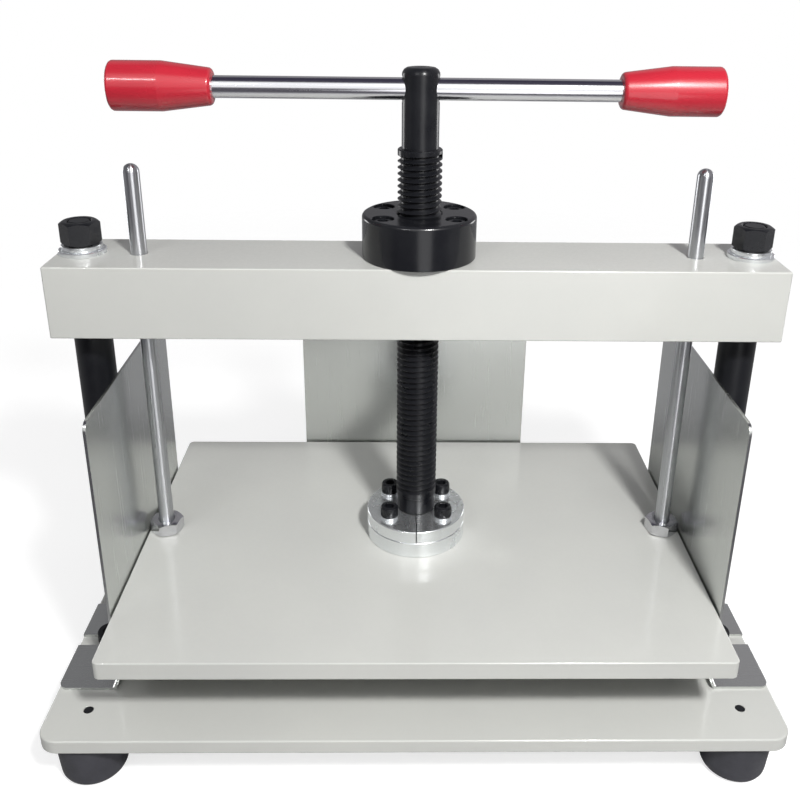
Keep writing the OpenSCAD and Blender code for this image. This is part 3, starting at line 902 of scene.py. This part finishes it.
def hardwareTree(name, sizes, ringRule):
    # a circle is drawn out ring by ring, set on each point and made one mesh
    tree = bpy.data.node_groups.new(name, "GeometryNodeTree")
    board = Board(tree)
    tree.interface.new_socket("Places", in_out="INPUT", socket_type="NodeSocketGeometry")
    for size in sizes:
        tree.interface.new_socket(size, in_out="INPUT", socket_type="NodeSocketFloat")
    tree.interface.new_socket("Finish", in_out="INPUT", socket_type="NodeSocketMaterial")
    tree.interface.new_socket("Pieces", in_out="OUTPUT", socket_type="NodeSocketGeometry")
    given = board.add("NodeGroupInput")
    circle = board.add("GeometryNodeMeshCircle", {"fill_type": "NONE"},
                       {"Vertices": ringPoints, "Radius": 1.0})
    split = board.add("ShaderNodeSeparateXYZ", None, {0: board.add("GeometryNodeInputPosition")})
    angle = board.math("ARCTAN2", split.other("Y"), split.other("X"))
    shape = board.add("GeometryNodeStoreNamedAttribute", {"data_type": "FLOAT", "domain": "POINT"},
                      {"Geometry": circle, "Name": "turn", "Value": angle})
    turn = board.add("GeometryNodeInputNamedAttribute", {"data_type": "FLOAT"}, {"Name": "turn"})
    rings = ringRule(board, turn, {size: given.other(size) for size in sizes})
    cosine = board.math("COSINE", turn)
    sine = board.math("SINE", turn)
    drawn = None
    for index, (radius, height) in enumerate(rings):
        if index > 0:
            pulled = {"Mesh": shape, "Offset Scale": 0.0}
            if drawn:
                pulled["Selection"] = drawn
            shape = board.add("GeometryNodeExtrudeMesh", {"mode": "EDGES"}, pulled)
            drawn = shape.other("Top")
        place = board.add("ShaderNodeCombineXYZ", None,
                          {0: cosine * radius, 1: sine * radius, 2: height})
        setting = {"Geometry": shape, "Position": place}
        if drawn:
            setting["Selection"] = drawn
        shape = board.add("GeometryNodeSetPosition", None, setting)
    welded = board.add("GeometryNodeMergeByDistance", None,
                       {"Geometry": shape, "Distance": weldGap})
    spread = board.add("GeometryNodeInstanceOnPoints", None,
                       {"Points": given.other("Places"), "Instance": welded})
    whole = board.add("GeometryNodeRealizeInstances", None, {"Geometry": spread})
    done = board.add("GeometryNodeSetMaterial", None,
                     {"Geometry": whole, "Material": given.other("Finish")})
    board.add("NodeGroupOutput", None, {"Pieces": done})
    return tree


hardware = {
    "capScrew": (capScrewRings, ["Head", "Head Height", "Shank", "Shank Length", "Key", "Key Depth"]),
    "hexNut": (hexNutRings, ["Width", "Height", "Bore", "Turn"]),
    "hexBolt": (hexBoltRings, ["Width", "Head Height", "Shank", "Shank Length"]),
    "washer": (washerRings, ["Width", "Height", "Bore"]),
    "rubberFoot": (rubberFootRings, ["Top Width", "Bottom Width", "Round", "Height", "Recess Width",
                                     "Recess Depth", "Bore"]),
}
trees = {kind: hardwareTree(kind, sizes, rule) for kind, (rule, sizes) in hardware.items()}


def setHardware(name, kind, places, sizes, material, slot, body, *nodes):
    mesh = bmesh.new()
    for place in places:
        mesh.verts.new(place)
    piece = makeObject(name, mesh)
    tree = trees[kind]
    change = piece.modifiers.new("hardware", "NODES")
    change.node_group = tree
    for item in tree.interface.items_tree:
        if item.in_out == "INPUT" and item.name in sizes:
            scale = math.radians(1) if item.name == "Turn" else mm
            change[item.identifier] = sizes[item.name] * scale
        if item.in_out == "INPUT" and item.name == "Finish":
            change[item.identifier] = material
    evaluate(piece)
    mesh = bmesh.new()
    mesh.from_mesh(piece.data)
    bmesh.ops.recalc_face_normals(mesh, faces=mesh.faces)
    mesh.to_mesh(piece.data)
    mesh.free()
    settle(piece, material, slot, body, *nodes)


collarScrew = {"Head": 10, "Head Height": 6, "Shank": 6, "Shank Length": 14, "Key": 5, "Key Depth": 3}
collarPlaces = fourAround(*collar["screws"])
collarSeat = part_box("collar_screws")[1].z - collarScrew["Head Height"] * mm
collarSpots = [(x, y, collarSeat) for x, y in collarPlaces]
setHardware("collarScrews", "capScrew", collarSpots, collarScrew, finish["glossBlack"],
            "black_steel", "pressing_plate", "collar_screws")

nutScrew = {"Head": 10, "Head Height": 6, "Shank": 6, "Shank Length": 20, "Key": 5, "Key Depth": 3}
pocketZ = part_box("nut_screws")[1].z - nutScrew["Head Height"] * mm
nutSpots = [(x, y, pocketZ) for x, y in pocketPlaces]
setHardware("nutScrews", "capScrew", nutSpots, nutScrew, finish["glossBlack"],
            "black_steel", "frame", "nut_screws")

plateScrew = {"Head": 13, "Head Height": 7, "Shank": 8, "Shank Length": 9, "Key": 6, "Key Depth": 4}
plateSlots = {"sideX": 173.2 * mm, "sideY": (-54.75 * mm, 27.25 * mm),
              "backX": 41 * mm, "backY": 112.5 * mm}
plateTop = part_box("side_plate_screws")[1].z - plateScrew["Head Height"] * mm
sideSpots = [(side * plateSlots["sideX"], y, plateTop) for side in (-1, 1) for y in plateSlots["sideY"]]
setHardware("sidePlateScrews", "capScrew", sideSpots, plateScrew, finish["glossBlack"],
            "black_steel", "frame", "side_plate_screws")
backSpots = [(side * plateSlots["backX"], plateSlots["backY"], plateTop) for side in (-1, 1)]
setHardware("backPlateScrews", "capScrew", backSpots, plateScrew, finish["glossBlack"],
            "black_steel", "frame", "back_plate_screws")

postNut = {"Width": 18, "Height": heightOf("left_post_nut"), "Bore": 12.1}
nutTurns = {"left": 15, "right": -15}
for side, turn in nutTurns.items():
    node = side + "_post_nut"
    spot = (*centreOf(node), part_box(node)[0].z)
    setHardware(side + "PostNut", "hexNut", [spot], {**postNut, "Turn": turn}, finish["glossBlack"],
                "black_steel", "frame", node)

rodNut = {"Width": 17, "Height": heightOf("left_rod_nut"), "Bore": 8.6}
rodNutTurns = {"left": 17, "right": -19}
for side, turn in rodNutTurns.items():
    node = side + "_rod_nut"
    spot = (*centreOf(node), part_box(node)[0].z)
    setHardware(side + "RodNut", "hexNut", [spot], {**rodNut, "Turn": turn}, finish["nickel"],
                "zinc", "pressing_plate", node)

postWasher = {"Width": 24.5, "Height": heightOf("left_post_washer"), "Bore": 12.6}
washerNodes = ["left_post_washer", "right_post_washer"]
washerSpots = [(*centreOf(node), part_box(node)[0].z) for node in washerNodes]
setHardware("postWashers", "washer", washerSpots, postWasher, finish["zinc"], "zinc", "frame",
            *washerNodes)

springWasher = {"edge": 0.3 * mm}
for name, node, body in [("leftSpringWasher", "left_spring_washer", "frame"),
                         ("rightSpringWasher", "right_spring_washer", "frame"),
                         ("collarSpringWashers", "collar_spring_washers", "pressing_plate")]:
    settle(softenedCopy(name, node, springWasher["edge"]), finish["zinc"], "zinc", body, node)

rubberFoot = {"Top Width": 37, "Bottom Width": 34, "Round": 5, "Height": heightOf("front_left_foot"),
              "Recess Width": 14, "Recess Depth": 19, "Bore": 5.2}
footSpots = [(x, y, 0) for x, y in footPlaces]
setHardware("rubberFeet", "rubberFoot", footSpots, rubberFoot, finish["rubber"],
            "rubber", "frame", *footNodes)

# fixings under the base plate
postPlaces = [centreOf("left_post"), centreOf("right_post")]
footScrew = {"Width": 7.8, "Head Height": 3.5, "Shank": 5, "Shank Length": 18.1}
footWasher = {"Width": 13, "Height": heightOf("foot_washers"), "Bore": 5.4}
postBolt = {"Width": 18, "Head Height": 7.5, "Shank": 12, "Shank Length": 32.5}
boltWasher = {"Width": 24, "Height": heightOf("post_bolt_washers"), "Bore": 12.4}
for name, kind, sizes, places, material, slot, node in [
        ("footScrews", "hexBolt", footScrew, footPlaces, "satinBlack", "black_steel", "foot_screws"),
        ("footWashers", "washer", footWasher, footPlaces, "zinc", "zinc", "foot_washers"),
        ("postBolts", "hexBolt", postBolt, postPlaces, "satinBlack", "black_steel", "post_bolts"),
        ("boltWashers", "washer", boltWasher, postPlaces, "zinc", "zinc", "post_bolt_washers")]:
    spots = [(x, y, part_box(node)[0].z) for x, y in places]
    setHardware(name, kind, spots, sizes, finish[material], slot, "frame", node)

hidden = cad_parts["thrust_washer"]
hidden.data.materials.clear()
hidden.data.materials.append(finish["zinc"])
print("hardware set")


# Studio

falling = (1.0, 0.0)  # the range of a share that fades out

studio = {
    "target": Vector((0, spindleY, 150 * mm)),
    "key": {"place": (0.235, -0.62, 0.8), "size": (0.1, 0.1), "power": 8.1,
            "colour": (1, 0.995, 0.98)},
    "fill": {"place": (0.2, -1.1, 0.05), "size": (0.55, 0.7), "power": 1.35, "colour": (1, 1, 1)},
    "leftStrip": {"place": (-0.45, -0.78, 0.91), "size": (0.3, 0.03), "power": 1.3,
                  "colour": (1, 1, 1)},
    "rightBox": {"place": (0.33, -0.78, 0.91), "size": (0.45, 0.42), "power": 2.0,
                 "colour": (1, 1, 1)},
    "backLeft": {"place": (-1.25, 0.95, 0.2), "size": (0.6, 0.6), "power": 4.0, "colour": (1, 1, 1)},
    "backRight": {"place": (1.25, 0.95, 0.2), "size": (0.6, 0.6), "power": 4.0, "colour": (1, 1, 1)},
    "lowAmbient": (0.01, 0.01, 0.0105, 1),
    "highAmbient": (0.41, 0.41, 0.416, 1),
    "backdrop": (1, 1, 1, 1),
    "window": (1, 1, 1, 1),
    "leftWall": (0.2, 0.2, 0.21, 1),
    "rightWall": (0.38, 0.37, 0.39, 1),
    "ceiling": (0.035, 0.03, 0.055, 1),
    "below": (0.33, 0.33, 0.34, 1),
    "frontShade": (0.09, 0.085, 0.1, 1),
    "wallsMeet": (-0.5, 0.5),
    "windowLeft": (-0.5, -0.3),
    "windowRight": (0.5, 0.7),
    "windowFront": (-0.5, -0.3),
    "ceilingEdge": (0.8, 0.9),
    "shadeFront": (-0.6, -0.4),
    "shadeLow": (-0.8, -0.65),
    "horizon": (-0.05, 0.1),
    "ambientRise": (0.35, 0.8),
    "floorColour": (0.46, 0.46, 0.46, 1),
    "floorGlow": (0.72, 0.72, 0.72, 1),
    "floorUnlit": (0, 0, 0, 1),
    "floorShine": {"Roughness": 0.9, "Emission Strength": 1.0},
    "floorSize": 2.4,
    "floorCells": 8,
    "floorFade": (0.45, 1.1),
    "mirroredFade": (0.22, 0.34),
}

for name in ("key", "fill", "leftStrip", "rightBox", "backLeft", "backRight"):
    values = studio[name]
    light = bpy.data.lights.new(name, "AREA")
    light.shape = "ELLIPSE"
    light.size, light.size_y = values["size"]
    light.energy = values["power"]
    light.color = values["colour"]
    lamp = bpy.data.objects.new(name, light)
    lamp.location = values["place"]
    lamp.rotation_euler = (lamp.location - studio["target"]).to_track_quat("Z", "Y").to_euler()
    bpy.context.scene.collection.objects.link(lamp)

world = bpy.data.worlds.new("studio")
world.use_nodes = True
bpy.context.scene.world = world
board = Board(world.node_tree)
path = board.add("ShaderNodeLightPath", output="Is Camera Ray")
toward = board.add("ShaderNodeSeparateXYZ", None,
                   {0: board.add("ShaderNodeTexCoord", output="Generated")})
height = toward.other("Z")
depth = toward.other("Y")
walls = board.blend(board.fit(toward, *studio["wallsMeet"]), studio["leftWall"], studio["rightWall"])
opening = board.fit(toward, *studio["windowLeft"]) * board.fit(toward, *studio["windowRight"], *falling)
opening = opening * board.fit(depth, *studio["windowFront"], *falling)
around = board.blend(opening, walls, studio["window"])
raised = board.blend(board.fit(height, *studio["ceilingEdge"]), around, studio["ceiling"])
beyond = board.fit(depth, *studio["shadeFront"], *falling) * board.fit(height, *studio["shadeLow"])
lower = board.blend(beyond, studio["below"], studio["frontShade"])
reflected = board.blend(board.fit(height, *studio["horizon"]), lower, raised)
shown = board.blend(path, reflected, studio["backdrop"])
seen = board.math("MAXIMUM", path, board.math("MAXIMUM", path.other("Is Glossy Ray"),
                                              path.other("Is Transmission Ray")))
rise = board.fit(height, *studio["ambientRise"])
ambient = board.blend(rise, studio["lowAmbient"], studio["highAmbient"])
colour = board.blend(seen, ambient, shown)
board.fill(world.node_tree.nodes["Background"].inputs["Color"], colour)

floorMesh = bmesh.new()
bmesh.ops.create_grid(floorMesh, x_segments=studio["floorCells"], y_segments=studio["floorCells"],
                      size=studio["floorSize"] / 2)
ground = makeObject("floor", floorMesh)
material, board, shader, place = startFinish("paleFloor", studio["floorShine"])
shader.inputs["Base Color"].default_value = studio["floorColour"]
path = board.add("ShaderNodeLightPath", output="Is Camera Ray")
glow = board.blend(path, studio["floorUnlit"], studio["floorGlow"])
board.fill(shader.inputs["Emission Color"], glow)
away = board.add("ShaderNodeVectorMath", {"operation": "LENGTH"}, {0: place}, "Value")
full = board.fit(away, *studio["floorFade"], *falling)
mirrored = board.fit(away, *studio["mirroredFade"], *falling)
glossy = path.other("Is Glossy Ray")
board.fill(shader.inputs["Alpha"], full * (1 - glossy) + mirrored * glossy)
ground.data.materials.append(material)
ground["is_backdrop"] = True

view = {"place": Vector((-8.52, -471.8, 395.85)) * mm, "pitch": math.radians(21.28),
        "yaw": math.radians(1.19), "roll": math.radians(0.77), "focal": 907.02,
        "centre": (420.02, 320.17), "frame": 800, "sensor": 36, "clipStart": 10 * mm}
forward = Vector((math.sin(view["yaw"]) * math.cos(view["pitch"]),
                  math.cos(view["yaw"]) * math.cos(view["pitch"]), -math.sin(view["pitch"])))
right = Vector((math.cos(view["yaw"]), -math.sin(view["yaw"]), 0))
upward = right.cross(forward)
cameraX = right * math.cos(view["roll"]) + upward * math.sin(view["roll"])
cameraY = upward * math.cos(view["roll"]) - right * math.sin(view["roll"])
lens = bpy.data.cameras.new("camera")
lens.sensor_width = view["sensor"]
lens.lens = view["focal"] / view["frame"] * view["sensor"]
lens.shift_x = (view["frame"] / 2 - view["centre"][0]) / view["frame"]
lens.shift_y = (view["centre"][1] - view["frame"] / 2) / view["frame"]
lens.clip_start = view["clipStart"]
camera = bpy.data.objects.new("camera", lens)
camera.matrix_world = Matrix.Translation(view["place"]) @ Matrix(
    (cameraX, cameraY, -forward)).transposed().to_4x4()
bpy.context.scene.collection.objects.link(camera)
bpy.context.scene.camera = camera
bpy.context.scene.view_settings.view_transform = "Standard"
print("studio set")

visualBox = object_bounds()
sizes = {"cad": [list(corner) for corner in cadBox],
         "visual": [list(corner) for corner in visualBox]}
